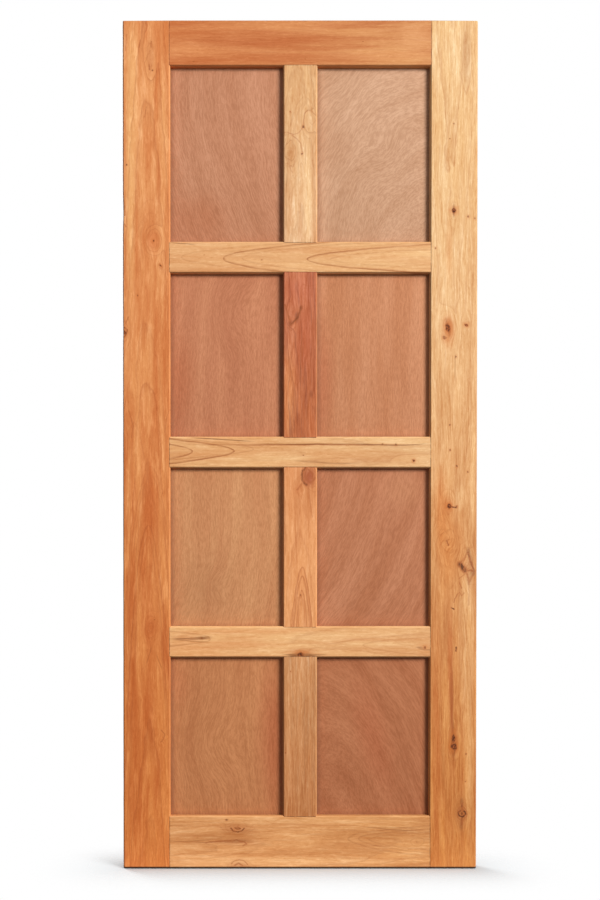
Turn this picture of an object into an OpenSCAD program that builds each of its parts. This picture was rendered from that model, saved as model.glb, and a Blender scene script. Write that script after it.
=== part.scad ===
// Panelled front door: a solid timber leaf with five rails, four rows of flat panels and a
// muntin down the middle of each row. X runs across the leaf, Y through it with the front at -Y,
// and Z up from the leaf's bottom edge.

/* [Leaf] */
// Height of the leaf
leaf_h = 2032; // [1690:1:2440]
// Width of the leaf
leaf_w = 850; // [700:1:1020]
// Thickness of the stiles, rails and muntins
leaf_t = 44; // [36:1:60]
// Bevel that eases the outer edges of the leaf
arris = 2.5; // [1:0.5:4]

/* [Stiles, rails and muntins] */
// Width of each stile
stile_w = 114; // [95:1:140]
// Height of the top rail
top_rail_h = 109; // [90:1:140]
// Height of each of the three cross rails
cross_rail_h = 75; // [60:1:100]
// Height of the bottom rail
bottom_rail_h = 128; // [100:1:220]
// Width of each muntin
muntin_w = 82; // [60:1:110]
// Bevel along every edge that faces a panel
sticking = 3; // [1:0.5:6]

/* [Rows of panels] */
// Height of the opening in the top row
row_1_h = 418; // [250:1:510]
// Height of the opening in the second row
row_2_h = 391; // [250:1:480]
// Height of the opening in the third row, above the row that takes what is left
row_3_h = 380; // [250:1:460]

/* [Panels] */
// Thickness of each plywood panel
panel_t = 9; // [6:0.5:12]
// Depth of the groove that holds the panels
groove_depth = 12; // [8:1:15]
// Play of a panel in its groove, across its thickness
panel_play = 0.4; // [0.2:0.1:1]
// Room left at a panel's edge for the frame to shrink
panel_room = 2; // [1:0.5:4]

/* [Joints] */
// Thickness of every tenon
tenon_t = 14; // [12:1:18]
// Glue line on each cheek of a tenon
glue_line = 0.1; // [0.05:0.05:0.3]
// Height of the haunch beside the top and bottom rails' tenons
haunch_h = 30; // [20:1:40]
// Length of the stub tenons on the muntins
stub_len = 20; // [14:1:24]
// Gap past the end of a stub tenon or a haunch
end_gap = 1; // [0.5:0.5:3]
// Length of the wedges driven in beside the through tenons
wedge_len = 70; // [40:1:85]
// Thickness of a wedge at the stile's outer edge
wedge_t = 5; // [3:0.5:8]
// Thickness of a wedge at its tip
wedge_tip = 0.6; // [0.4:0.1:1.5]

/* [Hidden] */
// How far a cutting shape runs past the surface that it cuts
over = 1;

row_4_h = leaf_h - top_rail_h - 3 * cross_rail_h - bottom_rail_h - row_1_h - row_2_h - row_3_h;
rail_h = [top_rail_h, cross_rail_h, cross_rail_h, cross_rail_h, bottom_rail_h];
row_h = [row_1_h, row_2_h, row_3_h, row_4_h];
last_rail = len(rail_h) - 1;

inner_w = leaf_w - 2 * stile_w;
opening_w = (inner_w - muntin_w) / 2;
groove_t = panel_t + panel_play;
mortise_t = tenon_t + 2 * glue_line;
stub_w = muntin_w - 2 * groove_depth;
panel_tongue = groove_depth - panel_room;

// Outer face, inner edge and wedge tips of the left stile
stile_outer_x = -leaf_w / 2;
stile_inner_x = -inner_w / 2;
wedge_tip_x = stile_outer_x + wedge_len;

rail_names = ["top_rail", "upper_cross_rail", "middle_cross_rail", "lower_cross_rail", "bottom_rail"];
row_names = ["top", "upper", "lower", "bottom"];
side_names = ["left", "right"];
edge_names = ["upper", "lower"];
sides = [0, 1];
edges = [0, 1];

function muntin_name(row) = str(row_names[row], "_muntin");
function panel_name(row, side) = str(row_names[row], "_", side_names[side], "_panel");
function wedge_name(rail, side, edge) =
    str(rail_names[rail], "_", side_names[side], "_", edge_names[edge], "_wedge");

// Colours of the boards and panels, in the order of their names
stile_colours = ["#d98d57", "#e6ad75"];
rail_colours = ["#cf7f4d", "#dca770", "#dba66c", "#dca566", "#d59a62"];
muntin_colours = ["#d9a871", "#b06a44", "#c88a55", "#b98a60"];
panel_colours = [["#c4866a", "#cfa181"], ["#c17e60", "#c58663"],
                 ["#c28658", "#b5754f"], ["#b6784d", "#b26c4b"]];
wedge_colour = "#c99a66";

// Heights are counted down from the top of the leaf
function sum_of(list, count) = count < 1 ? 0 : list[count - 1] + sum_of(list, count - 1);
function rail_z(i) = leaf_h - sum_of(rail_h, i + 1) - sum_of(row_h, i);
function row_z(i) = rail_z(i) - row_h[i];

// A rail's tenon stops at its panel grooves, or at a haunch along the leaf's top and bottom
function tenon_low(i) = rail_z(i) + (i == last_rail ? haunch_h : groove_depth);
function tenon_high(i) = rail_z(i) + rail_h[i] - (i == 0 ? haunch_h : groove_depth);

// A wedge in X and Z: flat along the tenon's upper or lower edge, and tapering inwards
function wedge_points(i, edge) =
    let (start = edge == 0 ? tenon_high(i) : tenon_low(i), way = edge == 0 ? 1 : -1) [
        [stile_outer_x, start], [wedge_tip_x, start],
        [wedge_tip_x, start + way * wedge_tip], [stile_outer_x, start + way * wedge_t]
    ];

// Section of a board: its width runs from 0 to w, bevelled by low and high at its two edges
function section(w, low, high) = let (half = leaf_t / 2) [
    [0, -half + low], [low, -half], [w - high, -half], [w, -half + high],
    [w, half - high], [w - high, half], [low, half], [0, half - low]
];
function turned(points) = [for (p = points) [p[1], p[0]]];

module bar_along_x(half_length, z, points) {
    translate([-half_length, 0, z])
        rotate([90, 0, 90])
            linear_extrude(2 * half_length)
                polygon(turned(points));
}

// A shape drawn in X and Z, and given a thickness that is centred on the leaf
module slab(thickness, points) {
    rotate([90, 0, 0])
        linear_extrude(thickness, center = true)
            polygon(points);
}

module on_side(side) {
    mirror([side, 0, 0]) children();
}

// The left stile's full section, longer than the leaf
module stile_bar() {
    translate([stile_outer_x, 0, -over])
        linear_extrude(leaf_h + 2 * over)
            polygon(section(stile_w, arris, sticking));
}

// A rail's full section, as long as asked
module rail_bar(i, half_length) {
    low = i == last_rail ? arris : sticking;
    high = i == 0 ? arris : sticking;
    bar_along_x(half_length, rail_z(i), section(rail_h[i], low, high));
}

// Mortise of one rail through the left stile, flared outwards by its two wedges
module mortise(i) {
    low = tenon_low(i);
    translate([stile_outer_x - over, -mortise_t / 2, low])
        cube([stile_w + 2 * over, mortise_t, tenon_high(i) - low]);
    for (edge = edges) slab(mortise_t, wedge_points(i, edge));
}

// One stile: grooved along its inner edge, mortised for the five rails
module stile(side) {
    color(stile_colours[side])
        on_side(side)
            difference() {
                intersection() {
                    stile_bar();
                    bar_along_x(leaf_w, 0, section(leaf_h, arris, arris));
                }
                translate([stile_inner_x - groove_depth, -groove_t / 2, -over])
                    cube([groove_depth + over, groove_t, leaf_h + 2 * over]);
                for (i = [0:last_rail]) mortise(i);
            }
}

// Haunch of the top or bottom rail, which fills the end of the left stile's groove
module haunch(i) {
    low = i == 0 ? tenon_high(i) : rail_z(i);
    length = groove_depth - end_gap;
    thickness = groove_t - 2 * glue_line;
    translate([stile_inner_x - length, -thickness / 2, low])
        cube([length + over, thickness, haunch_h]);
}

// Groove along the lower or upper edge of a rail
module rail_groove(i, edge) {
    z = edge == 0 ? rail_z(i) + rail_h[i] - groove_depth : rail_z(i) - over;
    half_length = inner_w / 2 + sticking;
    translate([-half_length, -groove_t / 2, z])
        cube([2 * half_length, groove_t, groove_depth + over]);
}

// Blind mortise in the lower or upper edge of a rail, for a muntin's stub tenon
module stub_mortise(i, edge) {
    depth = stub_len + end_gap;
    z = edge == 0 ? rail_z(i) + rail_h[i] - depth : rail_z(i) - over;
    translate([-stub_w / 2, -mortise_t / 2, z])
        cube([stub_w, mortise_t, depth + over]);
}

// One rail: shoulders scribed over the stiles' bevels, and a through tenon at each end
module rail(i) {
    panel_edges = [for (edge = edges) if (edge == 0 ? i > 0 : i < last_rail) edge];
    color(rail_colours[i])
        difference() {
            union() {
                difference() {
                    rail_bar(i, inner_w / 2 + sticking);
                    for (side = sides) on_side(side) stile_bar();
                }
                translate([stile_outer_x, -tenon_t / 2, tenon_low(i)])
                    cube([leaf_w, tenon_t, tenon_high(i) - tenon_low(i)]);
                if (i == 0 || i == last_rail)
                    for (side = sides) on_side(side) haunch(i);
            }
            for (edge = panel_edges) {
                rail_groove(i, edge);
                stub_mortise(i, edge);
            }
        }
}

// The muntin of one row: scribed over both rails' bevels, with a stub tenon at each end
module muntin(row) {
    low = row_z(row);
    length = row_h[row];
    color(muntin_colours[row])
        difference() {
            union() {
                difference() {
                    translate([-muntin_w / 2, 0, low - sticking])
                        linear_extrude(length + 2 * sticking)
                            polygon(section(muntin_w, sticking, sticking));
                    rail_bar(row, muntin_w);
                    rail_bar(row + 1, muntin_w);
                }
                translate([-stub_w / 2, -tenon_t / 2, low - stub_len])
                    cube([stub_w, tenon_t, length + 2 * stub_len]);
            }
            for (side = sides)
                on_side(side)
                    translate([stub_w / 2, -groove_t / 2, low - stub_len - over])
                        cube([groove_depth + over, groove_t, length + 2 * (stub_len + over)]);
        }
}

// One panel, loose in its grooves and standing on the floor of the lower one
module panel(row, side) {
    color(panel_colours[row][side])
        on_side(side)
            translate([stile_inner_x - panel_tongue, -panel_t / 2, row_z(row) - groove_depth])
                cube([opening_w + 2 * panel_tongue, panel_t, row_h[row] + 2 * panel_tongue]);
}

// One wedge, driven in from the stile's outer edge above or below a through tenon
module wedge(i, side, edge) {
    color(wedge_colour)
        on_side(side)
            slab(tenon_t, wedge_points(i, edge));
}

for (side = sides)
    stile(side);
for (i = [0:last_rail])
    rail(i);
for (row = [0:3])
    muntin(row);
for (row = [0:3], side = sides)
    panel(row, side);
for (i = [0:last_rail], side = sides, edge = edges)
    wedge(i, side, edge);
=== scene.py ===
import math
from dataclasses import dataclass

import bmesh
import bpy
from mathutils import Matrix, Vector, noise


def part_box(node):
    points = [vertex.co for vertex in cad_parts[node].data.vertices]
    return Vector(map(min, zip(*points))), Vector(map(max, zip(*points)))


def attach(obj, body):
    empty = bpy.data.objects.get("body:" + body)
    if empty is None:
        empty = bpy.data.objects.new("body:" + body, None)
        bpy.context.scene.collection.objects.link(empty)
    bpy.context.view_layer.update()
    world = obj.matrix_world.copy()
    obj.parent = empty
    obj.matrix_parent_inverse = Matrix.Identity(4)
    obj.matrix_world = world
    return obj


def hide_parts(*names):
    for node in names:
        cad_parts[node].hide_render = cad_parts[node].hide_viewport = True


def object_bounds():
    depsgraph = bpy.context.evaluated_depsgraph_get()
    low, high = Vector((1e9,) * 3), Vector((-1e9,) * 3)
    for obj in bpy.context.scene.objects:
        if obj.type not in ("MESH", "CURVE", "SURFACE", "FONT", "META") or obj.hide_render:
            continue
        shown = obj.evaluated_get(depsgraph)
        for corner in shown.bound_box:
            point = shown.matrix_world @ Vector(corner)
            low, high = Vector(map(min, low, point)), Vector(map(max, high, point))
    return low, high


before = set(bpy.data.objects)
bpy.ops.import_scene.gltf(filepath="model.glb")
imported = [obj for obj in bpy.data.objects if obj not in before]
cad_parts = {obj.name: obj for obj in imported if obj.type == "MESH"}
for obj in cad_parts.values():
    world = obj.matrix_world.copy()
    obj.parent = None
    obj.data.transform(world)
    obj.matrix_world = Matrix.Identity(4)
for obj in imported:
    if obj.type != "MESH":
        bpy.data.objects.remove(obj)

MM = 0.001
cad_box = [list(corner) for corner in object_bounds()]
leaf_low, leaf_high = (Vector(corner) for corner in cad_box)
leaf_middle = (leaf_low + leaf_high) / 2
front_y = leaf_low.y

RAILS = ["top_rail", "upper_cross_rail", "middle_cross_rail", "lower_cross_rail", "bottom_rail"]
ROWS = ["top", "upper", "lower", "bottom"]
STICKING = 3.0          # millimetres, the width of the bevel round each panel

# Camera: metres, apart from the lens in millimetres and the dip in degrees
LENS = 52.50
SENSOR = 36.0
SHIFT = (0.0657, 0.1419)
CAMERA_X = -0.142
CAMERA_DISTANCE = 3.15  # in front of the leaf's face
CAMERA_HEIGHT = 0.742
CAMERA_DIP = 0.751

# Light and floor
LIGHT_ABOVE = 0.46      # brightness of the surroundings as a light, from above
LIGHT_BELOW = 0.14      # and from below
HORIZON = (-0.4, 0.6)   # heights of view between which one turns into the other
SOFTBOX = (3.7, -4.8, 3.1)
SOFTBOX_SIZE = 2.6
KEY_POWER = 480.0       # watts of the front softbox
BACK_SHARE = 0.8        # of that, for the one behind
FLOOR_TONE = (0.66, 0.69, 0.705, 1)  # reflectance of the floor
FLOOR_SIZE = 0.9        # half a side
FLOOR_REACH = 0.27      # metres from the leaf at which the floor has faded away
FLOOR_FADE = 2.6        # how steeply it fades
UNDERLAP = 0.01         # how far the full floor reaches in under the leaf's ends


# ---------------------------------------------------------------- camera, floor and light

def make_camera():
    """A little left of the leaf's middle and below it, facing the leaf squarely."""
    data = bpy.data.cameras.new("camera")
    data.lens = LENS
    data.sensor_width = SENSOR
    data.shift_x, data.shift_y = SHIFT
    camera = bpy.data.objects.new("camera", data)
    camera.location = (CAMERA_X, front_y - CAMERA_DISTANCE, CAMERA_HEIGHT)
    camera.rotation_euler = (math.radians(90 - CAMERA_DIP), 0, 0)
    bpy.context.scene.collection.objects.link(camera)
    bpy.context.scene.camera = camera


def add_softbox(name, place, power):
    """A square area light aimed at the middle of the leaf."""
    data = bpy.data.lights.new(name, "AREA")
    data.shape = "RECTANGLE"
    data.size = data.size_y = SOFTBOX_SIZE
    data.energy = power
    lamp = bpy.data.objects.new(name, data)
    lamp.location = place
    lamp.rotation_euler = (leaf_middle - Vector(place)).to_track_quat("-Z", "Y").to_euler()
    bpy.context.scene.collection.objects.link(lamp)


def light_the_scene():
    """A pale world, and one large softbox in front and one behind."""
    world = bpy.data.worlds.new("studio")
    bpy.context.scene.world = world
    world.use_nodes = True
    nodes, links = world.node_tree.nodes, world.node_tree.links
    background = nodes["Background"]
    background.inputs["Color"].default_value = (1.0, 1.0, 1.0, 1.0)
    direction = nodes.new("ShaderNodeSeparateXYZ")
    links.new(nodes.new("ShaderNodeTexCoord").outputs["Generated"], direction.inputs[0])
    glow = nodes.new("ShaderNodeMapRange")
    glow.inputs["From Min"].default_value, glow.inputs["From Max"].default_value = HORIZON
    glow.inputs["To Min"].default_value = LIGHT_BELOW
    glow.inputs["To Max"].default_value = LIGHT_ABOVE
    links.new(direction.outputs["Z"], glow.inputs["Value"])
    seen = nodes.new("ShaderNodeMix")
    links.new(nodes.new("ShaderNodeLightPath").outputs["Is Camera Ray"], seen.inputs["Factor"])
    links.new(glow.outputs["Result"], seen.inputs["A"])
    seen.inputs["B"].default_value = 1.0
    links.new(seen.outputs["Result"], background.inputs["Strength"])
    x, y, z = SOFTBOX
    add_softbox("key", (x, y, z), KEY_POWER)
    add_softbox("back_key", (-x, -y, z), KEY_POWER * BACK_SHARE)
    view = bpy.context.scene.view_settings
    view.view_transform = "Standard"
    view.look = "None"
    view.exposure = 0.0
    view.gamma = 1.0


def make_floor():
    """A pale floor that fades into the white backdrop away from the leaf, which leaves a painted soft
    shadow round its foot.
    """
    size = FLOOR_SIZE
    mesh = bpy.data.meshes.new("floor")
    corners = [(-size, -size, 0), (size, -size, 0), (size, size, 0), (-size, size, 0)]
    mesh.from_pydata(corners, [], [(0, 1, 2, 3)])
    floor = bpy.data.objects.new("floor", mesh)
    floor.location = (leaf_middle.x, leaf_middle.y, leaf_low.z)
    bpy.context.scene.collection.objects.link(floor)
    g = Graph("floor")
    x, y, z = g.parts(g.node("TexCoord").outputs["Object"])
    beside = g.larger(g.minus(g.size(x), leaf_high.x - UNDERLAP), 0.0)
    before = g.larger(g.minus(g.size(y), leaf_high.y), 0.0)
    away = g.length(g.join(beside, before, 0.0))
    # the fade by distance from the leaf's footprint paints a soft grey shadow round its foot
    near = g.math("SUBTRACT", 1.0, g.math("DIVIDE", away, FLOOR_REACH), clamp=True)
    g.put(g.math("POWER", near, FLOOR_FADE), g.shader.inputs["Alpha"])
    g.shader.inputs["Base Color"].default_value = FLOOR_TONE
    g.shader.inputs["Roughness"].default_value = 0.8
    g.shader.inputs["Specular IOR Level"].default_value = 0.0
    mesh.materials.append(g.material)


# ---------------------------------------------------------------- node graphs

def rgb(red, green, blue):
    """Linear colour from the usual 0 to 255 values."""
    def linear(value):
        value /= 255
        return value / 12.92 if value <= 0.04045 else ((value + 0.055) / 1.055) ** 2.4
    return (linear(red), linear(green), linear(blue), 1.0)


THROUGH = 1000.0  # millimetres, a reach right through any board

KNOT_RED = rgb(164, 86, 42)
KNOT_HALO = rgb(190, 104, 44)
KNOT_BROWN = rgb(112, 56, 26)
KNOT_DARK = rgb(70, 32, 16)
# pale wear on edges, with a painted highlight on bevels turned towards the light
WORN_AND_LIT = rgb(244, 196, 138)
# dirt, with painted shade on bevels turned away from the light
DIRT_AND_SHADE = rgb(112, 62, 34)
# painted contact shadow: the dark line under the leaf's foot
FOOT_SHADOW_TONE = rgb(34, 28, 24)
# dust, with painted shade where the panels meet the frame
DUST_AND_SHADE = rgb(112, 78, 56)


class Graph:
    """Builds one material's nodes. Numbers and sockets can be given alike."""

    def __init__(self, name):
        self.material = bpy.data.materials.new(name)
        self.material.use_nodes = True
        self.tree = self.material.node_tree
        self.shader = self.tree.nodes["Principled BSDF"]

    def node(self, kind, **settings):
        made = self.tree.nodes.new("ShaderNode" + kind)
        for key, value in settings.items():
            setattr(made, key, value)
        return made

    def put(self, value, socket):
        if isinstance(value, bpy.types.NodeSocket):
            self.tree.links.new(value, socket)
        else:
            socket.default_value = value

    def math(self, operation, a, b=0.0, c=0.0, clamp=False):
        made = self.node("Math", operation=operation, use_clamp=clamp)
        for value, socket in zip((a, b, c), made.inputs):
            self.put(value, socket)
        return made.outputs[0]

    def vector(self, operation, a, b=(0, 0, 0)):
        made = self.node("VectorMath", operation=operation)
        self.put(a, made.inputs[0])
        if operation == "SCALE":
            self.put(b, made.inputs["Scale"])
        else:
            self.put(b, made.inputs[1])
        return made.outputs["Value" if operation in ("LENGTH", "DOT_PRODUCT") else "Vector"]

    def times(self, a, b):
        return self.math("MULTIPLY", a, b)

    def times_plus(self, a, b, c):
        return self.math("MULTIPLY_ADD", a, b, c)

    def minus(self, a, b):
        return self.math("SUBTRACT", a, b)

    def larger(self, a, b):
        return self.math("MAXIMUM", a, b)

    def smaller(self, a, b):
        return self.math("MINIMUM", a, b)

    def size(self, value):
        return self.math("ABSOLUTE", value)

    def length(self, vector):
        return self.vector("LENGTH", vector)

    def moved(self, point, offset):
        return self.vector("ADD", point, offset)

    def scaled(self, vector, factor):
        return self.vector("SCALE", vector, factor)

    def parts(self, vector):
        made = self.node("SeparateXYZ")
        self.put(vector, made.inputs[0])
        return made.outputs

    def join(self, x, y, z):
        made = self.node("CombineXYZ")
        for value, socket in zip((x, y, z), made.inputs):
            self.put(value, socket)
        return made.outputs[0]

    def noise(self, point, detail=2.0, roughness=0.5, output="Fac"):
        made = self.node("TexNoise", noise_dimensions="3D")
        self.put(point, made.inputs["Vector"])
        self.put(1.0, made.inputs["Scale"])
        self.put(detail, made.inputs["Detail"])
        self.put(roughness, made.inputs["Roughness"])
        return made.outputs[output]

    def push(self, point, detail, reach):
        """A noise vector about zero, up to half of reach along each axis."""
        centred = self.vector("SUBTRACT", self.noise(point, detail, output="Color"), (0.5, 0.5, 0.5))
        return self.vector("MULTIPLY", centred, reach)

    def noise_along(self, value):
        made = self.node("TexNoise", noise_dimensions="1D")
        self.put(value, made.inputs["W"])
        self.put(1.0, made.inputs["Scale"])
        self.put(1.0, made.inputs["Detail"])
        return made.outputs["Fac"]

    def fade(self, value, start, end, low=0.0, high=1.0):
        """Smooth step from low at start to high at end."""
        made = self.node("MapRange", interpolation_type="SMOOTHSTEP")
        for item, socket in zip((value, start, end, low, high), made.inputs):
            self.put(item, socket)
        return made.outputs[0]

    def ramp(self, value, stops):
        """A level read off a line through stops: (position, level)."""
        made = self.node("ValToRGB")
        elements = made.color_ramp.elements
        while len(elements) < len(stops):
            elements.new(0.5)
        for element, (position, level) in zip(elements, stops):
            element.position = position
            element.color = (level, level, level, 1)
        self.put(value, made.inputs[0])
        return made.outputs[0]

    def blend(self, share, a, b):
        made = self.node("Mix", data_type="RGBA", blend_type="MIX")
        self.put(share, made.inputs[0])
        self.put(a, made.inputs[6])
        self.put(b, made.inputs[7])
        return made.outputs[2]

    def placed(self, point, centre, size, turn=0.0):
        """The point seen from centre, turned, and measured in multiples of size."""
        made = self.node("Mapping", vector_type="TEXTURE")
        self.put(point, made.inputs["Vector"])
        made.inputs["Location"].default_value = centre
        made.inputs["Rotation"].default_value = (0, math.radians(turn), 0)
        made.inputs["Scale"].default_value = size
        return made.outputs[0]

    def spread(self, point, centre, size):
        """Distance from centre in multiples of size, which may differ from axis to axis. Unlike
        placed, it converts nothing between kinds of vector, which a long chain has no stack for."""
        offset = self.vector("SUBTRACT", point, centre)
        scale = tuple(1.0 / reach for reach in size)
        return self.length(self.vector("MULTIPLY", offset, scale))

    def gap_to_line(self, point, start, end):
        """Distance across the face from the point to a straight line from start to end."""
        reach = Vector(end) - Vector(start)
        offset = self.vector("MULTIPLY", self.vector("SUBTRACT", point, start), (1, 0, 1))
        share = self.vector("DOT_PRODUCT", offset, reach)
        share = self.math("DIVIDE", share, reach.length_squared, clamp=True)
        nearest = self.scaled(tuple(reach), share)
        return self.length(self.vector("SUBTRACT", offset, nearest))

    def millimetres(self):
        coordinates = self.node("TexCoord").outputs["Object"]
        return self.scaled(coordinates, 1000.0)

    def tinted(self, share, strength, colour, tone):
        """The colour with a share of tone laid over it."""
        return self.blend(self.times(share, strength), colour, tone)

    def toned(self, colour, shade, powers):
        """The colour times shade, more strongly in the channels with a higher power."""
        warmth = self.join(*(self.math("POWER", shade, power) for power in powers))
        return self.vector("MULTIPLY", colour, warmth)

    def bump(self, height, strength, distance):
        made = self.node("Bump")
        self.put(strength, made.inputs["Strength"])
        self.put(distance, made.inputs["Distance"])
        self.put(height, made.inputs["Height"])
        self.put(made.outputs[0], self.shader.inputs["Normal"])


# ---------------------------------------------------------------- timber

@dataclass
class Knot:
    """A knot or eye at (u, v), u along the grain. core is its dark middle's half-sizes along and
    across, reach that of the rings around it, lift how far it raises the ring field, turn its slant
    in degrees, and tail how far dark streaks run along the grain."""

    u: float
    v: float
    core: tuple = (0, 0)
    reach: tuple = (60, 25)
    lift: float = 12.0
    turn: float = 0
    tail: float = 0
    dark: float = 1.0


@dataclass
class Timber:
    """How one board looks. Lengths are in millimetres: u along the grain, v across the width.
    Colours run from 0 to 255.
    low and high are (pale, deep) colours at the board's low and high end of u, and line the colour
    of late wood. The rings are spacing apart about the pith (v, depth), taper widens them along u,
    and start shifts them. wander and ripple say how far the grain strays, slowly and quickly;
    rings, streaks and wisps how strongly the rings, the fibres and the pale wisps show.
    Pins are small dark spots (u, v, radius). Tints are soft patches (u, v, reach along, reach
    across, colour, strength). Arches are late-wood lines (tip u, v, curve, strength) opening
    towards +u for a positive curve. Seams are dark lines along the grain (u, v, slope, curve,
    reach, strength). Strokes are dark cracks and bark lines: (half-width, strength, [(u, v), ...])."""

    low: tuple
    high: tuple
    line: tuple
    pith: tuple
    spacing: float = 6.0
    taper: float = 0.03
    start: float = 0.0
    wander: float = 8.0
    ripple: float = 3.2
    rings: float = 0.5
    streaks: float = 1.0
    wisps: float = 0.7
    seed: int = 0
    knots: tuple = ()
    pins: tuple = ()
    tints: tuple = ()
    arches: tuple = ()
    seams: tuple = ()
    strokes: tuple = ()


# The grain's noises: (scale across, scale along, detail, roughness), scales per millimetre
GRAIN = {
    "fibre": (0.42, 0.018, 4.0, 0.66),
    "streak": (0.17, 0.009, 3.0, 0.6),
    "broad": (0.045, 0.0036, 2.0, 0.55),
    "fleck": (0.34, 0.075, 3.0, 0.7),
    "wisp": (0.10, 0.013, 3.0, 0.65),
}
SLOW = (0.011, 0.0024)    # scales of the slow wander and the quick ripple, across and along
QUICK = (0.055, 0.022)
ROUGH_SCALE = 0.16        # of the noise that makes outlines ragged
ROUGH_REACH = 5.0         # and its size in millimetres
LATE_WOOD = [(0.0, 0.0), (0.5, 0.08), (0.84, 0.5), (0.93, 1.0), (1.0, 0.0)]  # across one ring
WARM = (0.7, 1.35, 2.1)   # darker wood is also redder
TRACE = 1e-6              # a share too small to show

# Millimetres over which the leaf's side and top edges grow darker, and its foot gets a painted contact
# shadow
SIDE_RIM = (421.5, 424.5)
TOP_RIM = (2028.5, 2031.5)
FOOT_SHADOW = (6.5, 3.5)

# Where each mark fades out and where it is full, in multiples of its size
CORE = (1.1, 0.55)
HALO = (2.9, 0.5)
TAIL = (1.0, 0.0)
PIN = (1.3, 0.4, 0.0, 0.8)       # with its strength there
PIN_HALO = (3.0, 1.0, 0.0, 0.35)
STROKE = (1.25, 0.3)
# And across an arch and a seam, in millimetres
ARCH_FRONT = (-1.2, 0.2)
ARCH_BACK = (6.5, 0.3)
SEAM = (2.2, 0.3)

# How much each part of the grain changes the shade
FIBRE_SHADE = 0.8
STREAK_SHADE = 0.4
PORE_SHADE = -0.11
WISP_SHADE = 0.16
FLECK_SHADE = 0.13


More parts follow.
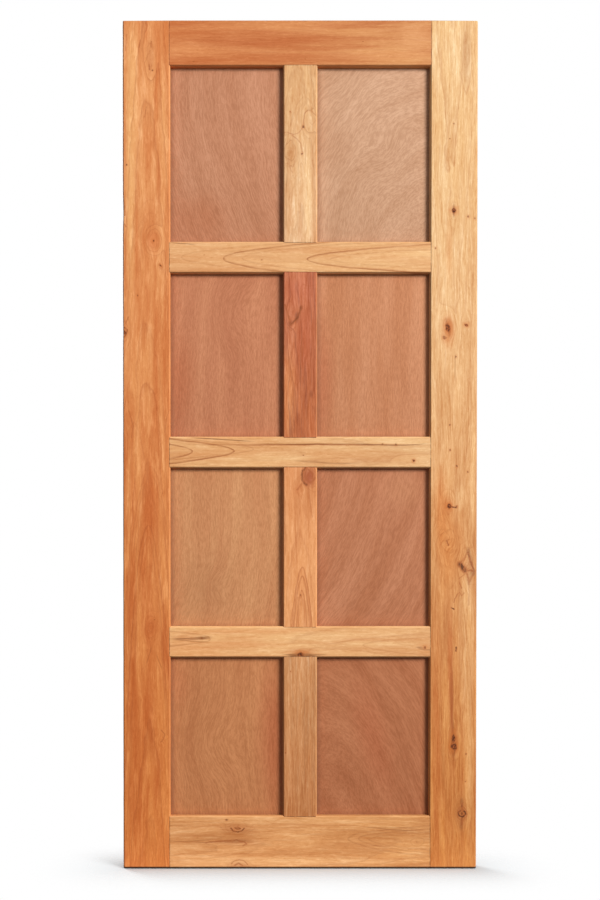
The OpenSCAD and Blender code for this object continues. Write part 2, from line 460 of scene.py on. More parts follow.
class TimberGraph(Graph):
    """Planed and clear-coated timber: growth rings about a wandering pith, fibres, pores, knots.
    The steps run in the order of timber_material, each using what the ones before it made."""

    def __init__(self, name, look, along, centre):
        super().__init__(name)
        self.look, self.along = look, along
        self.shift = (look.seed * 31.7, look.seed * 17.3, look.seed * 53.9)
        self.x, y, self.z = self.parts(self.millimetres())
        if along == "z":
            self.u, v = self.z, self.minus(self.x, centre.x / MM)
        else:
            self.u, v = self.x, self.minus(self.z, centre.z / MM)
        self.place = self.join(v, y, self.u)

    def stretched(self, point, across, lengthways):
        scaled = self.vector("MULTIPLY", point, (across, across, lengthways))
        return self.moved(scaled, self.shift)

    def lay_grain(self):
        """flow is the point as the grain sees it: it wanders slowly and ripples a little."""
        wander, ripple = self.look.wander * 2.2, self.look.ripple
        slow = self.push(self.stretched(self.place, *SLOW), 1.0, (wander, wander, 0))
        self.quick = self.push(self.stretched(self.place, *QUICK), 2.0, (ripple, ripple, ripple * 2))
        self.flow = self.moved(self.moved(self.place, slow), self.quick)
        self.rough = self.push(self.scaled(self.place, ROUGH_SCALE), 2.0, (ROUGH_REACH,) * 3)

    def add_knots(self):
        """Each knot raises the ring field, and pushes the grain aside before the next is placed."""
        self.lift, self.cores, self.halos, self.tails = 0.0, 0.0, 0.0, 0.0
        for knot in self.look.knots:
            spot = (knot.v, 0, knot.u)
            near = self.placed(self.flow, spot, (knot.reach[1], THROUGH, knot.reach[0]), knot.turn)
            bell = self.fade(self.length(near), 1.0, 0.0)
            self.lift = self.times_plus(bell, knot.lift, self.lift)
            if knot.core[0]:
                away = self.ragged_distance(knot, (knot.core[1], THROUGH, knot.core[0]))
                core = self.fade(away, *CORE, 0.0, knot.dark)
                self.cores = self.larger(self.cores, core)
                halo = self.fade(away, *HALO, 0.0, 0.9 * knot.dark)
                self.halos = self.larger(self.halos, halo)
            if knot.tail:
                size = (max(knot.core[1], 2.0) * 0.8, THROUGH, knot.tail)
                tail = self.fade(self.ragged_distance(knot, size), *TAIL, 0.0, knot.dark)
                self.tails = self.larger(self.tails, tail)
            sideways = self.times(self.parts(near)[0], bell)
            sideways = self.times(sideways, -0.9 * knot.reach[1])
            self.flow = self.moved(self.flow, self.join(sideways, 0, 0))

    def ragged_distance(self, knot, size):
        ragged = self.moved(self.flow, self.rough)
        return self.length(self.placed(ragged, (knot.v, 0, knot.u), size, knot.turn))

    def add_pins(self):
        ragged = self.moved(self.place, self.rough)
        nearest = 10.0
        for pin_u, pin_v, radius in self.look.pins:
            size = (radius, THROUGH, radius * 1.3)
            nearest = self.smaller(nearest, self.spread(ragged, (pin_v, 0, pin_u), size))
        if self.look.pins:
            self.cores = self.larger(self.cores, self.fade(nearest, *PIN))
            self.halos = self.larger(self.halos, self.fade(nearest, *PIN_HALO))

    def add_rings(self):
        look = self.look
        from_pith = self.vector("SUBTRACT", self.flow, (look.pith[0], look.pith[1], 0))
        radius = self.length(self.vector("MULTIPLY", from_pith, (1, 1, 0)))
        radius = self.times_plus(self.u, look.taper, radius)
        radius = self.math("ADD", radius, self.lift)
        phase = self.math("DIVIDE", radius, look.spacing)
        phase = self.math("ADD", phase, 40.0 + look.start)
        unevenness = self.noise_along(self.times(phase, 0.7))
        uneven = self.times_plus(unevenness, 0.9, phase)
        band = self.math("FRACT", uneven)
        which = self.node("TexWhiteNoise", noise_dimensions="1D")
        self.put(self.math("FLOOR", uneven), which.inputs["W"])
        strong = self.times_plus(which.outputs["Value"], 0.8, 0.2)
        self.ring = self.times(self.ramp(band, LATE_WOOD), strong)

    def add_fibres(self):
        """Fibres, broad streaks, pores and short flecks all follow the same flow."""
        grain = {}
        for name, (across, lengthways, detail, roughness) in GRAIN.items():
            grain[name] = self.noise(self.stretched(self.flow, across, lengthways), detail, roughness)
        self.grain = grain
        self.pore = self.fade(grain["fleck"], 0.56, 0.68)

    def add_arches(self):
        """Single late-wood arches, added to the rings."""
        self.flow_v, depth, self.flow_u = self.parts(self.flow)
        for tip, arch_v, curve, strength in self.look.arches:
            across = self.minus(self.flow_v, arch_v)
            inside = self.minus(self.flow_u, tip)
            square = self.times(across, across)
            inside = self.times_plus(square, -curve, inside)
            inside = self.times(inside, math.copysign(1.0, curve))
            steep = self.times(across, 2 * curve)
            steep = self.math("SQRT", self.times_plus(steep, steep, 1.0))
            inside = self.math("DIVIDE", inside, steep)
            edge = self.times(self.fade(inside, *ARCH_FRONT), self.fade(inside, *ARCH_BACK))
            broken = self.fade(self.grain["streak"], 0.32, 0.58, 0.45, 1.0)
            edge = self.times(edge, broken)
            edge = self.times(edge, strength / max(self.look.rings, 0.1))
            self.ring = self.larger(self.ring, edge)

    def add_seams(self):
        self.dark_lines = 0.0
        for seam_u, seam_v, slope, curve, reach, strength in self.look.seams:
            length = self.minus(self.flow_u, seam_u)
            rise = self.times_plus(length, curve, slope)
            middle = self.times_plus(rise, length, seam_v)
            gap = self.size(self.minus(self.flow_v, middle))
            end = self.fade(self.size(length), reach, reach * 0.5, 0.0, strength)
            line = self.times(self.fade(gap, *SEAM), end)
            line = self.times(line, self.fade(self.grain["streak"], 0.3, 0.56, 0.4, 1.0))
            self.dark_lines = self.larger(self.dark_lines, line)

    def add_strokes(self):
        crooked = self.moved(self.place, self.scaled(self.rough, 0.75))
        ink = 0.0
        for width, strength, points in self.look.strokes:
            gap = THROUGH
            for (start_u, start_v), (end_u, end_v) in zip(points, points[1:]):
                piece = self.gap_to_line(crooked, (start_v, 0, start_u), (end_v, 0, end_u))
                gap = self.smaller(gap, piece)
            stroke = self.fade(gap, *(width * share for share in STROKE), 0.0, strength)
            ink = self.larger(ink, stroke)
        self.ink = self.times(ink, self.fade(self.grain["fleck"], 0.66, 0.46, 0.55, 1.0))

    def base_colour(self, u_range):
        """The board's own colour, changing along its length, with its tints."""
        look = self.look
        height = self.fade(self.u, *u_range)
        pale, deep = (
            self.blend(height, rgb(*low), rgb(*high)) for low, high in zip(look.low, look.high))
        colour = self.blend(self.fade(self.grain["broad"], 0.25, 0.75), pale, deep)
        rippled = self.moved(self.place, self.scaled(self.quick, 1.5))
        # a trace of the flow makes the tints wait for it, or the shader's stack would overflow
        rippled = self.moved(rippled, self.scaled(self.flow, TRACE))
        for tint_u, tint_v, reach_u, reach_v, tone, strength in look.tints:
            away = self.spread(rippled, (tint_v, 0, tint_u), (reach_v, THROUGH, reach_u))
            colour = self.blend(self.fade(away, 1.0, 0.15, 0.0, strength), colour, rgb(*tone))
        return colour

    def with_grain(self, colour):
        look, grain = self.look, self.grain
        streak = self.fade(grain["streak"], 0.52, 0.76, 0.0, 0.34 * look.streaks)
        colour = self.blend(streak, colour, rgb(*look.line))
        colour = self.tinted(self.ring, look.rings, colour, rgb(*look.line))
        fibre = self.minus(grain["fibre"], 0.5)
        shade = self.times_plus(fibre, FIBRE_SHADE * look.streaks, 1.0)
        streak = self.minus(grain["streak"], 0.5)
        shade = self.times_plus(streak, STREAK_SHADE * look.streaks, shade)
        shade = self.times_plus(self.pore, PORE_SHADE, shade)
        wisp = self.fade(grain["wisp"], 0.5, 0.7)
        shade = self.times_plus(wisp, WISP_SHADE * look.wisps, shade)
        shade = self.times_plus(self.fade(grain["fleck"], 0.48, 0.32), FLECK_SHADE, shade)
        return self.toned(colour, shade, WARM)

    def with_knots(self, colour):
        """Halos, tails, seams, strokes and cores, each over the one before."""
        colour = self.tinted(self.halos, 0.62, colour, KNOT_HALO)
        broken = self.times(self.tails, self.fade(self.grain["fibre"], 0.32, 0.6))
        colour = self.tinted(broken, 0.8, colour, KNOT_BROWN)
        seam_tone = tuple(0.55 * level for level in rgb(*self.look.line)[:3]) + (1.0,)
        colour = self.blend(self.dark_lines, colour, seam_tone)
        stroke_tone = self.blend(self.fade(self.ink, 0.5, 0.9), KNOT_RED, KNOT_DARK)
        colour = self.blend(self.ink, colour, stroke_tone)
        speckle = self.noise(self.scaled(self.place, 0.28), 2.0, 0.7)
        core_tone = self.blend(self.fade(speckle, 0.36, 0.58), KNOT_RED, KNOT_DARK)
        return self.tinted(self.cores, 0.92, colour, core_tone)

    def with_wear_and_painted_light(self, colour):
        """Bevels facing the sky or the right, towards the key light, are worn pale with a painted
        highlight; the others get dirt and painted shade. The leaf's outer edges darken in patches, its
        foot gets a painted contact shadow, and the boards' end grain is darker."""
        nx, ny, self.nz = self.parts(self.node("NewGeometry").outputs["Normal"])
        facing = self.size(ny)
        bevel = self.times(self.fade(facing, 0.96, 0.85), self.fade(facing, 0.3, 0.6))
        towards_light = self.fade(self.math("ADD", nx, self.nz), -0.3, 0.3)
        # bevels turned towards the key light: pale wear and a painted highlight
        colour = self.tinted(self.times(bevel, towards_light), 0.15, colour, WORN_AND_LIT)
        away_from_light = self.minus(1.0, towards_light)
        # bevels turned away from the light: dirt and painted shade
        colour = self.tinted(self.times(bevel, away_from_light), 0.6, colour, DIRT_AND_SHADE)
        patchy = self.noise(self.scaled(self.place, 0.03), 3.0, 0.6)
        patchy = self.fade(patchy, 0.35, 0.7, 0.15, 1.0)
        # the leaf's outer side and top edges are darker, in patches
        side_rim = self.fade(self.size(self.x), *SIDE_RIM)
        rim = self.larger(self.times(side_rim, 0.3), self.fade(self.z, *TOP_RIM))
        colour = self.tinted(self.times(rim, patchy), 0.35, colour, DIRT_AND_SHADE)
        # painted contact shadow along the leaf's foot, where it meets the floor
        colour = self.blend(self.fade(self.z, *FOOT_SHADOW, 0.0, 0.95), colour, FOOT_SHADOW_TONE)
        end_on = self.size(self.nz if self.along == "z" else nx)
        return self.tinted(self.fade(end_on, 0.75, 0.95), 0.45, colour, DIRT_AND_SHADE)

    def with_joint_lines(self, colour, shoulders):
        """Grime in the joint at each end of the board's visible length."""
        low_gap = self.minus(self.u, shoulders[0])
        high_gap = self.minus(shoulders[1], self.u)
        gap = self.size(self.smaller(low_gap, high_gap))
        patchy = self.noise(self.scaled(self.place, 0.12), 2.0)
        patchy = self.fade(patchy, 0.3, 0.62, 0.3, 1.0)
        grime = self.times(self.fade(gap, 2.4, 0.5), patchy)
        return self.tinted(grime, 0.8, colour, KNOT_DARK)

    def finish(self, colour):
        """Sockets of the shader: a satin coat, duller on knots and on the unfinished top edge."""
        self.put(colour, self.shader.inputs["Base Color"])
        gloss = self.times_plus(self.grain["fibre"], 0.22, 0.46)
        gloss = self.times_plus(self.cores, 0.15, gloss)
        gloss = self.times_plus(self.fade(self.nz, 0.6, 0.9), 0.35, gloss)
        self.put(gloss, self.shader.inputs["Roughness"])
        self.shader.inputs["Specular IOR Level"].default_value = 0.16
        relief = self.times_plus(self.pore, -0.6, self.grain["fibre"])
        relief = self.times_plus(self.grain["streak"], 0.6, relief)
        self.bump(relief, 0.4, 0.4 * MM)


def timber_material(name, look, along, centre, u_range, shoulders=None):
    g = TimberGraph(name, look, along, centre)
    g.lay_grain()
    g.add_knots()
    g.add_pins()
    g.add_rings()
    g.add_fibres()
    g.add_arches()
    g.add_seams()
    g.add_strokes()
    colour = g.base_colour(u_range)
    colour = g.with_grain(colour)
    colour = g.with_knots(colour)
    colour = g.with_wear_and_painted_light(colour)
    if shoulders:
        colour = g.with_joint_lines(colour, shoulders)
    g.finish(colour)
    return g.material


# ---------------------------------------------------------------- plywood

@dataclass
class Veneer:
    """How one plywood face looks. Its grain leans by lean degrees to the right, bends away from the
    height crest, or runs in tall arches about centre (x, z) when that is given, and swirls at
    eddies: (x, z, reach across, reach along, sideways push). drift says how far it strays. Tints
    are soft patches (x, z, reach across, reach along, colour, strength). Millimetres from the
    panel's middle."""

    pale: tuple
    deep: tuple
    lean: float = 0
    bend: float = 0.0
    crest: float = 0
    centre: tuple = None
    tall: float = 1.6
    eddies: tuple = ()
    drift: float = 40.0
    tints: tuple = ()
    seed: int = 0


ARC_LENGTH = 380.0          # millimetres along an arch for each radian of it
VENEER_RIPPLE = 7.0         # how far the grain ripples, in millimetres
VENEER_WARM = (0.9, 1.2, 1.5)
LIGHTER_UPWARDS = 0.00022   # change of shade with each millimetre of height
LEFT_DUST_AND_SHADE = (15.0, 0.0, 0.0, 0.5)   # reach of the dust and painted shade, its end, and its strength at either
EDGE_DUST_AND_SHADE = (11.0, 0.0, 0.0, 0.3)


def veneer_flow(g, look, place, shift):
    """The point as the veneer's grain sees it."""
    def shifted(point, scale):
        return g.moved(g.vector("MULTIPLY", point, scale), shift)

    turned = g.placed(place, (0, 0, 0), (1, 1, 1), look.lean)
    drift = g.noise(shifted(turned, (0.007, 0.01, 0.0035)), 1.0)
    ripple = g.noise(shifted(turned, (0.03, 0.03, 0.016)), 1.0)
    v, w, u = g.parts(turned)
    if look.centre:
        spot = (look.centre[0], 0, look.centre[1])
        near_v, near_w, near_u = g.parts(g.placed(place, spot, (1, 1, look.tall), look.lean))
        v = g.length(g.join(near_v, 0, near_u))
        u = g.times(g.math("ARCTAN2", near_v, near_u), ARC_LENGTH)
    else:
        off = g.minus(u, look.crest)
        v = g.times_plus(g.times(off, off), look.bend, v)
    v = g.times_plus(drift, look.drift, v)
    v = g.times_plus(ripple, VENEER_RIPPLE, v)
    for eddy_x, eddy_z, across, lengthways, push in look.eddies:
        near = g.placed(place, (eddy_x, 0, eddy_z), (across, THROUGH, lengthways), look.lean)
        v = g.times_plus(g.fade(g.length(near), 1.0, 0.0), push, v)
    return g.join(v, w, u)


def dust_and_shade_in_opening(g, opening):
    """Dust and painted shade along the edges of the panel's opening, most of it at the left."""
    x, y, z = g.parts(g.millimetres())
    left, right, bottom, top = opening
    dust_and_shade = g.fade(g.minus(x, left), *LEFT_DUST_AND_SHADE)
    edge = g.smaller(g.minus(z, bottom), g.minus(top, z))
    edge = g.smaller(edge, g.minus(right, x))
    return g.larger(dust_and_shade, g.fade(edge, *EDGE_DUST_AND_SHADE))


def veneer_material(name, look, middle, opening):
    """Rotary-cut veneer: short fine flecks along a drifting grain, and broad soft sweeps."""
    g = Graph(name)
    place = g.vector("SUBTRACT", g.millimetres(), (middle.x / MM, 0, middle.z / MM))
    shift = (look.seed * 41.3, look.seed * 13.9, look.seed * 29.1)
    flow = veneer_flow(g, look, place, shift)

    def grain(across, lengthways, roughness):
        scaled = g.vector("MULTIPLY", flow, (across, across, lengthways))
        return g.noise(g.moved(scaled, shift), 3.0, roughness)

    sweep = grain(0.024, 0.0022, 0.55)
    hair = grain(0.22, 0.012, 0.6)
    fleck = grain(0.36, 0.06, 0.75)
    colour = g.blend(g.fade(sweep, 0.22, 0.78), rgb(*look.pale), rgb(*look.deep))
    for tint_x, tint_z, reach_x, reach_z, tone, strength in look.tints:
        near = g.placed(place, (tint_x, 0, tint_z), (reach_x, THROUGH, reach_z), look.lean)
        share = g.fade(g.length(near), 1.0, 0.1, 0.0, strength)
        colour = g.blend(share, colour, rgb(*tone))
    shade = g.times_plus(g.minus(hair, 0.5), 0.3, 1.0)
    shade = g.times_plus(g.minus(fleck, 0.5), 1.25, shade)
    shade = g.times_plus(g.fade(fleck, 0.56, 0.7), -0.16, shade)
    shade = g.times_plus(g.fade(fleck, 0.44, 0.3), 0.14, shade)
    shade = g.times_plus(g.parts(place)[2], LIGHTER_UPWARDS, shade)
    dust_and_shade = dust_and_shade_in_opening(g, opening)
    # the panel darkens near the frame: dust and painted shade
    colour = g.blend(dust_and_shade, g.toned(colour, shade, VENEER_WARM), DUST_AND_SHADE)
    g.put(colour, g.shader.inputs["Base Color"])
    g.put(g.times_plus(fleck, 0.25, 0.45), g.shader.inputs["Roughness"])
    g.shader.inputs["Specular IOR Level"].default_value = 0.14
    g.bump(g.times_plus(fleck, 1.0, hair), 0.35, 0.3 * MM)
    return g.material


make_camera()
light_the_scene()
make_floor()


# ---------------------------------------------------------------- how each board looks

# The colours of LOOKS and PANEL_LOOKS were first typed with averages of the photo's boards in view.
# A program then rescaled them, from the averages of parts of the photo and of the render. The places
# of the marks were read off the photo.

LOOKS = {}
LOOKS["left_stile"] = Timber(
    low=((218, 132, 67), (193, 100, 45)), high=((228, 158, 100), (205, 120, 64)), line=(162, 78, 35),
    pith=(4, 46), spacing=7.5, taper=0.035, rings=0.5, seed=1, wisps=1.6, ripple=5, streaks=0.65,
    pins=[(1376, -21, 1.6), (1688, -47, 1.6), (1912, 15, 1.8), (600, 18, 1.3)],
    seams=[(1100, -50, 0.25, -0.002, 34, 0.4), (515, 6, 0.3, 0, 26, 0.3), (500, 30, -0.3, 0, 22, 0.3)],
    arches=[
        (1606, 10, -0.03, 0.15), (1575, 10, -0.04, 0.15), (968, 10, -0.09, 0.3), (947, 10, -0.11, 0.3),
        (827, 6, -0.15, 0.5), (800, 6, -0.22, 0.35), (1075, -30, -0.12, 0.25)],
    knots=[
        Knot(1507, 15, core=(3, 2.2), reach=(52, 36), lift=30),
        Knot(1447, 32, core=(3, 1.8), reach=(30, 12), lift=5, turn=-25),
        Knot(1286, -52, core=(6, 5), reach=(50, 22), lift=12), Knot(1940, 10, reach=(90, 24), lift=14),
        Knot(1100, -38, reach=(110, 22), lift=10, turn=6), Knot(579, 12, reach=(60, 30), lift=22),
        Knot(316, 40, reach=(40, 16), lift=10, turn=30)],
    strokes=[
        (2, 0.45, [(1998, -46), (1960, -50)]), (1.8, 0.4, [(1984, -15), (1967, -17)]),
        (2, 0.6, [(1980, 12), (1968, 12)]), (1.6, 0.3, [(1960, 9), (1931, -3)]),
        (2.2, 0.6, [(1926, 7), (1915, 8)]), (1.8, 0.45, [(1826, 0), (1802, -4)]),
        (2.4, 0.55, [(1612, -54), (1568, -51)]), (2.4, 0.5, [(1550, -55), (1540, -49)]),
        (2, 0.55, [(1324, -43), (1310, -50)]),
        (2.2, 0.7, [(1300, -52), (1294, -46), (1282, -49), (1276, -54)]),
        (1.8, 0.45, [(1100, -43), (1087, -38), (1064, -32), (1036, -36)]),
        (1.6, 0.35, [(1104, 56), (1084, 48), (1050, 44)]),
        (1.8, 0.55, [(334, 35), (325, 43), (313, 40), (306, 34)])],
    tints=[
        (1840, -36, 330, 22, (245, 190, 124), 0.4), (1600, -38, 260, 18, (243, 186, 120), 0.4),
        (1750, 40, 260, 16, (243, 180, 116), 0.35), (1940, 10, 60, 12, (184, 105, 60), 0.4),
        (1560, 4, 70, 36, (194, 109, 54), 0.4), (1507, 15, 34, 26, (196, 103, 49), 0.6),
        (880, 8, 130, 32, (194, 95, 41), 0.5), (579, 12, 40, 26, (190, 97, 45), 0.4)])
LOOKS["right_stile"] = Timber(
    low=((215, 142, 75), (182, 104, 49)), high=((226, 189, 140), (216, 169, 113)), line=(172, 101, 48),
    pith=(-10, 52), spacing=6.5, taper=-0.03, rings=0.45, seed=2, streaks=1.25,
    pins=[
        (1564, 33, 2.4), (1560, 49, 1.8), (1490, -44, 1.8), (133, 22, 3), (1786, -1, 1.2),
        (1750, -11, 1.2), (1230, 5, 2.2), (1067, -9, 2), (1007, -9, 2), (968, 8, 2.2), (954, 34, 2),
        (277, 31, 1.8), (872, 8, 2), (210, 31, 1.4)],
    seams=[(1205, 5, 0, 0, 40, 0.35)],
    arches=[(818, -15, -0.11, 0.4), (795, -12, -0.15, 0.3), (880, -22, -0.1, 0.25)],
    knots=[
        Knot(1579, -1, core=(7, 6), reach=(50, 24), lift=14, tail=26),
        Knot(1299, -12, core=(13, 6), reach=(70, 30), lift=20, turn=-12, tail=34),
        Knot(1275, -15, core=(6, 5), reach=(30, 14), lift=6, dark=0.7),
        Knot(1306, 30, core=(4, 4), reach=(34, 16), lift=8),
        Knot(872, -11, core=(6, 5), reach=(60, 26), lift=16, tail=12),
        Knot(788, -16, reach=(90, 40), lift=22, turn=-25),
        Knot(726, 34, reach=(80, 34), lift=26, turn=-12),
        Knot(313, 0, core=(12, 4.5), reach=(70, 20), lift=12, tail=62),
        Knot(294, 1, core=(9, 4.5), reach=(30, 14), lift=6, tail=44),
        Knot(132, 22, core=(2.5, 2), reach=(60, 36), lift=26, dark=0.9)],
    strokes=[
        (2.8, 0.45, [(768, 36), (750, 28), (734, 16)]), (3.2, 0.7, [(762, 35), (742, 40), (716, 51)]),
        (8, 0.85, [(734, 15), (728, 19), (718, 28)]), (2.6, 0.62, [(716, 31), (719, 40), (715, 51)]),
        (3, 0.55, [(716, 31), (700, 36), (684, 37)]), (3, 0.35, [(684, 37), (660, 38), (636, 37)]),
        (3, 0.5, [(715, 51), (704, 45), (690, 38)]), (1.5, 0.45, [(712, 30), (704, 20), (698, 13)]),
        (1.8, 0.6, [(689, 15), (682, 17), (676, 20)]), (1.8, 0.5, [(665, 15), (658, 21), (664, 26)]),
        (1.8, 0.6, [(663, 11), (650, 4), (642, 1)]), (2.4, 0.9, [(629, -5), (625, 2)]),
        (2.2, 0.9, [(534, 7), (525, 7)]), (2.4, 0.85, [(871, -8), (869, 8)]),
        (2, 0.7, [(790, -16), (778, -12)]),
        (2.8, 0.85, [(143, 22), (138, 29), (132, 31), (125, 23), (129, 14), (136, 13), (143, 22)]),
        (1.7, 0.45, [(154, 22), (143, 31), (131, 35), (113, 23), (124, 12), (143, 12), (154, 22)]),
        (2.8, 0.8, [(157, 22), (142, 22)]), (2.8, 0.7, [(126, 22), (106, 21)]),
        (2.4, 0.5, [(470, -6), (400, -6), (332, -1)]), (1.6, 0.3, [(1908, 14), (1872, 22), (1855, 28)]),
        (1.6, 0.3, [(1930, 42), (1880, 36), (1855, 28)])],
    tints=[
        (732, 17, 12, 10, (66, 34, 20), 0.75), (722, 27, 14, 10, (84, 44, 24), 0.7),
        (712, 46, 12, 10, (90, 48, 28), 0.65), (740, 40, 28, 9, (124, 70, 40), 0.6),
        (698, 37, 28, 11, (134, 76, 42), 0.6), (762, 36, 14, 8, (96, 54, 30), 0.55),
        (158, 22, 18, 6, (100, 54, 30), 0.7), (108, 21, 20, 6, (112, 62, 34), 0.6),
        (132, 22, 16, 14, (120, 70, 42), 0.7), (787, -16, 20, 9, (150, 80, 42), 0.5),
        (1302, -12, 28, 15, (158, 86, 48), 0.5), (780, -18, 200, 30, (208, 126, 60), 0.5),
        (896, 16, 44, 18, (234, 186, 131), 0.5), (640, 30, 70, 24, (234, 184, 128), 0.5),
        (1000, 46, 260, 9, (238, 194, 137), 0.5), (724, 34, 24, 15, (150, 84, 46), 0.62),
        (132, 22, 20, 15, (116, 65, 38), 0.62), (726, 32, 34, 22, (188, 111, 63), 0.55),
        (132, 22, 36, 22, (176, 103, 53), 0.5), (872, -11, 30, 18, (206, 131, 77), 0.5),
        (560, 34, 330, 27, (226, 173, 116), 0.6), (260, 40, 260, 16, (224, 165, 104), 0.6),
        (300, -40, 520, 18, (187, 102, 47), 0.5), (500, -7, 180, 10, (183, 95, 45), 0.6),
        (400, -3, 150, 6, (144, 64, 26), 0.6), (860, -32, 150, 22, (201, 118, 55), 0.6),
        (770, 6, 130, 34, (205, 128, 67), 0.45), (1290, -13, 60, 22, (201, 122, 63), 0.55),
        (1480, -12, 110, 12, (211, 145, 84), 0.4), (1950, 28, 120, 17, (189, 145, 106), 0.55),
        (140, 22, 80, 34, (179, 112, 59), 0.5)])
LOOKS["top_rail"] = Timber(
    low=((214, 137, 83), (190, 105, 55)), high=((201, 141, 87), (179, 105, 58)), line=(157, 77, 39),
    pith=(-190, 60), spacing=9, taper=0.05, rings=0.2, seed=3, wisps=0.4, streaks=0.6,
    pins=[(11, -38, 1.2), (150, 4, 1.2), (-255, -44, 1.6)],
    tints=[
        (-110, 4, 210, 34, (175, 88, 42), 0.55), (210, -30, 180, 20, (212, 146, 91), 0.5),
        (-60, 46, 260, 9, (205, 135, 81), 0.6), (280, 10, 70, 60, (216, 155, 102), 0.5)])
LOOKS["upper_cross_rail"] = Timber(
    low=((225, 169, 116), (212, 147, 93)), high=((225, 180, 125), (212, 157, 105)), line=(157, 88, 43),
    pith=(2, 60), spacing=9, taper=-0.012, start=0.2, wander=5, rings=0.28, seed=4, ripple=3,
    streaks=0.45,
    seams=[(-285, 33, -0.08, 0, 40, 0.5)],
    arches=[
        (-184, -3, 0.145, 0.7), (16, -4, 0.23, 0.75), (70, -4, 0.42, 0.3), (-140, -2, 0.2, 0.25),
        (-285, 0, 0.2, 0.2)],
    pins=[(-92, -6, 1.4), (-230, 6, 1)])
LOOKS["middle_cross_rail"] = Timber(
    low=((232, 178, 121), (216, 151, 96)), high=((226, 181, 128), (209, 154, 102)), line=(155, 83, 39),
    pith=(-2, 60), spacing=9, taper=0.02, start=0.4, wander=9, rings=0.3, seed=5, ripple=3, streaks=0.5,
    seams=[
        (60, 17, -0.02, 0, 200, 0.75), (215, 14, 0, 0.0006, 110, 0.6), (-190, 32, -0.06, 0, 90, 0.7),
        (60, -24, -0.03, 0, 90, 0.35)],
    arches=[(-258, 2, -0.17, 0.7), (-157, 3, -0.18, 0.85), (-110, 8, -0.3, 0.3)],
    knots=[
        Knot(70, -22, reach=(120, 12), lift=9), Knot(272, -22, core=(3, 3), reach=(60, 18), lift=16)],
    pins=[(198, 20, 1.6), (230, 18, 2.2), (8, -8, 1.2)],
    tints=[(20, 18, 360, 3.5, (171, 100, 53), 0.75)])
LOOKS["lower_cross_rail"] = Timber(
    low=((239, 187, 127), (228, 161, 104)), high=((227, 176, 122), (205, 143, 90)), line=(175, 105, 57),
    pith=(6, 60), spacing=8, taper=-0.04, start=0.1, wander=7, rings=0.3, seed=6, ripple=3,
    streaks=0.65,
    seams=[
        (-262, 9, 0.04, 0, 58, 0.7), (-262, 3, -0.07, 0, 50, 0.6), (12, -31, 0, 0.0006, 62, 0.8),
        (300, -16, -0.1, 0, 26, 0.7)],
    arches=[(-215, 8, -0.25, 0.5), (20, -26, 0.12, 0.3), (150, -10, 0.3, 0.35)],
    knots=[
        Knot(2, -30, core=(9, 6), reach=(50, 28), lift=18, tail=44),
        Knot(-236, 10, core=(2, 2), reach=(60, 10), lift=9, tail=26, dark=0.7),
        Knot(300, -14, core=(3, 3), reach=(40, 16), lift=9, dark=0.7)],
    tints=[
        (-268, 8, 70, 12, (196, 116, 62), 0.6), (4, -24, 60, 12, (196, 118, 66), 0.6),
        (-100, 26, 260, 8, (222, 152, 94), 0.4), (300, -14, 30, 20, (206, 132, 78), 0.4)])
LOOKS["bottom_rail"] = Timber(
    low=((229, 165, 108), (208, 140, 84)), high=((217, 155, 96), (192, 127, 74)), line=(161, 96, 52),
    pith=(-12, 66), spacing=5.5, taper=0.03, wander=10, rings=0.4, seed=7, wisps=1.1, ripple=4,
    streaks=0.8,
    arches=[(115, 4, 0.14, 0.4), (140, 4, 0.2, 0.4), (165, 4, 0.3, 0.35)],
    pins=[(-176, 54, 2.4)],
    tints=[
        (-150, 30, 62, 24, (177, 104, 55), 0.65), (-150, 2, 80, 13, (173, 98, 52), 0.55),
        (-146, -56, 50, 18, (183, 110, 61), 0.6), (-190, 14, 170, 20, (179, 108, 54), 0.65),
        (170, 20, 190, 22, (185, 118, 64), 0.55), (-20, -46, 330, 16, (235, 179, 122), 0.75),
        (0, 50, 260, 10, (231, 173, 116), 0.5)],
    knots=[
        Knot(-149, 32, core=(9, 3), reach=(50, 26), lift=22, dark=0.55),
        Knot(-150, 2, reach=(70, 14), lift=8, dark=0.7),
        Knot(-146, -56, reach=(36, 22), lift=18, dark=0.5),
        Knot(282, 2, core=(2, 2), reach=(26, 14), lift=10, dark=0.3)],
    strokes=[
        (2.2, 0.8, [(-166, 34), (-161, 28), (-150, 24), (-140, 27), (-133, 34)]),
        (1.8, 0.65, [(-158, 35), (-150, 30), (-142, 33), (-150, 38), (-158, 35)]),
        (1.8, 0.7, [(-160, 4), (-154, 6), (-149, 4)]),
        (2.2, 0.6, [(-146, 3), (-134, 1), (-128, -4), (-136, -8)]),
        (2.2, 0.6, [(-226, -1), (-190, 3), (-165, 4)]),
        (1.8, 0.55, [(-166, -52), (-158, -45), (-145, -42), (-132, -46), (-126, -54)]),
        (2.2, 0.6, [(-156, -55), (-148, -50), (-138, -56)])],
    seams=[
        (-190, 2, 0, 0, 90, 0.3), (215, 30, -0.05, 0, 70, 0.35), (-260, 6, 0.03, 0, 60, 0.3),
        (230, 34, 0, 0, 60, 0.25)])
